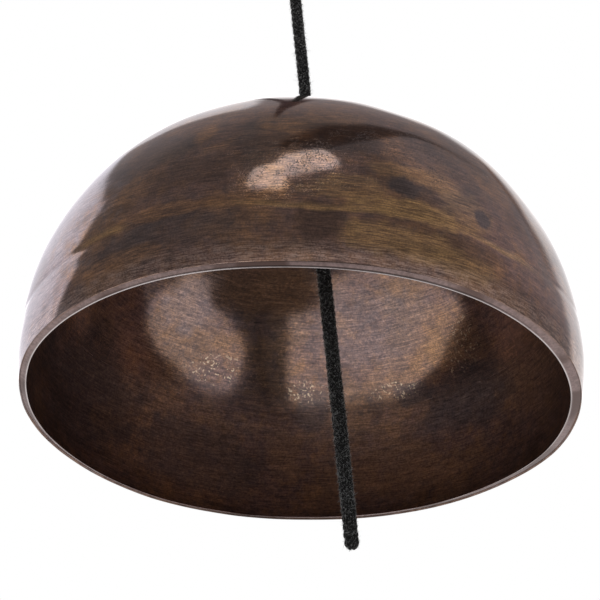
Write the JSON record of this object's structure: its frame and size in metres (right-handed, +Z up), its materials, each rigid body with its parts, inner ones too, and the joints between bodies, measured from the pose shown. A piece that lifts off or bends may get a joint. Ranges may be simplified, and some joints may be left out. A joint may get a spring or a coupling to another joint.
{
  "type": "hanging bowl bell",
  "caption": "Deep hand-beaten bronze bowl bell with a dark patina, hung mouth down on one black braided cord that runs through its crown and out of its mouth.",
  "frame": {"origin": "the bearing point inside the top of the hanging loop", "axes": "+Z up along the plumb cord; +X towards the side the bowl's crown leans to; +Y away from the side the bell is shown from"},
  "size_m": [0.1996, 0.2, 0.3063],
  "materials": {
    "patinated_bronze": "dark brown patina, brushed round, worn to bronze on the rim",
    "washer_leather": "dark thick leather",
    "black_cord": "fuzzy braided cotton"
  },
  "bodies": {
    "hanger": {"hanging_loop": "black_cord", "loop_knot": "black_cord"},
    "upper_cord_a": {"upper_cord_a": "black_cord"},
    "upper_cord_b": {"upper_cord_b": "black_cord"},
    "upper_cord_c": {"upper_cord_c": "black_cord"},
    "crown_cord": {"crown_cord": "black_cord"},
    "bell": {"bowl": "patinated_bronze", "bearing_washer": "washer_leather", "stop_knot": "black_cord"},
    "tail_cord_a": {"tail_cord_a": "black_cord"},
    "tail_cord_b": {"tail_cord_b": "black_cord"},
    "tail_cord_c": {"tail_cord_c": "black_cord"}
  },
  "joints": [
    {"name": "swing_side", "type": "hinge", "parent": "hanger", "child": "upper_cord_a", "pos_m": [0, 0, -0.0645], "axis": [0, 1, 0], "range_deg": [-25, 25]},
    {"name": "swing_front", "type": "hinge", "parent": "upper_cord_a", "child": "upper_cord_b", "pos_m": [0, 0, -0.0825], "axis": [1, 0, 0], "range_deg": [-25, 25]},
    {"name": "cord_twist", "type": "hinge", "parent": "upper_cord_b", "child": "upper_cord_c", "pos_m": [0, 0, -0.1005], "axis": [0, 0, 1], "range_deg": [-180, 180]},
    {"name": "bell_tip_front", "type": "hinge", "parent": "upper_cord_c", "child": "crown_cord", "pos_m": [0, 0, -0.122], "axis": [1, 0, 0], "range_deg": [-15, 15]},
    {"name": "bell_tip_side", "type": "hinge", "parent": "crown_cord", "child": "bell", "pos_m": [0, 0, -0.137], "axis": [0, 1, 0], "range_deg": [-21.5, 8.5]},
    {"name": "tail_swing_side", "type": "hinge", "parent": "bell", "child": "tail_cord_a", "pos_m": [0, 0, -0.1629], "axis": [0, 1, 0], "range_deg": [-25, 25]},
    {"name": "tail_swing_front", "type": "hinge", "parent": "tail_cord_a", "child": "tail_cord_b", "pos_m": [0, 0, -0.2093], "axis": [1, 0, 0], "range_deg": [-25, 25]},
    {"name": "tail_bend", "type": "hinge", "parent": "tail_cord_b", "child": "tail_cord_c", "pos_m": [0, 0, -0.2557], "axis": [0, 1, 0], "range_deg": [-25, 25]}
  ]
}
